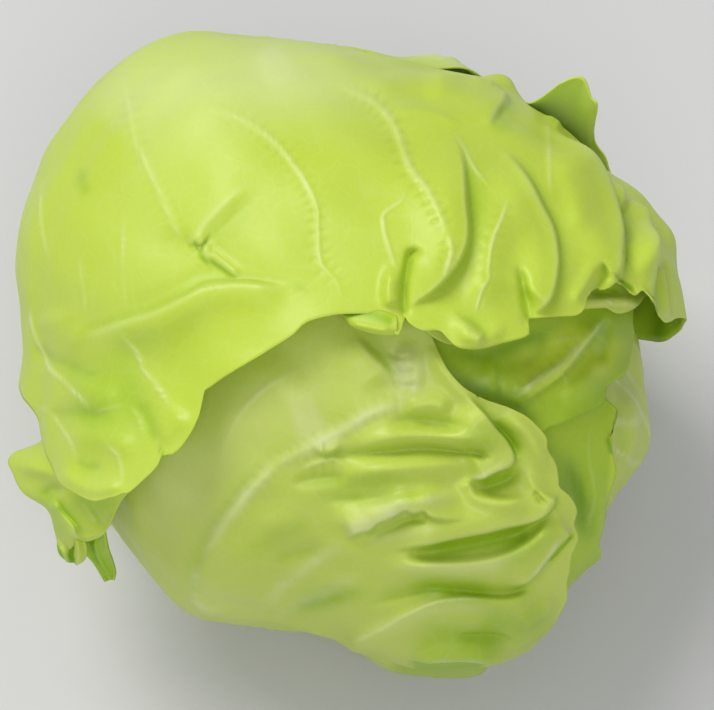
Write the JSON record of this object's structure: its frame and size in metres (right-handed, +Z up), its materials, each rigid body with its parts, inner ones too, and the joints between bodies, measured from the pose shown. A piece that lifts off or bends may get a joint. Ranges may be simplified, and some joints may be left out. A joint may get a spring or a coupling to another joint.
{
  "type": "green cabbage",
  "caption": "Whole green cabbage as picked: a tight round head with loose outer leaves wrapped over it, standing on the cut end of its stem.",
  "frame": {"origin": "middle of the stem's cut face, on the surface that the cabbage stands on", "axes": "+Z up, +X to the picture's right, +Y away from its camera"},
  "size_m": [0.1969, 0.1809, 0.1634],
  "materials": {
    "outer_leaf": "waxy satin, bright yellow-green with paler veins",
    "pale_leaf": "waxy satin, pale green with nearly white ribs",
    "deep_leaf": "waxy satin, fuller green",
    "inner_leaf": "smooth, pale and tightly folded",
    "stem": "matt, pale green with a drier cut face"
  },
  "bodies": {
    "root": {"top_leaf": "outer_leaf", "back_right_leaf": "outer_leaf", "inner_top_leaf": "pale_leaf", "front_leaf": "pale_leaf", "left_leaf": "deep_leaf", "right_leaf": "deep_leaf", "lower_right_leaf": "deep_leaf", "far_right_leaf": "pale_leaf", "inner_head": "inner_leaf", "stem": "stem"}
  },
  "joints": []
}
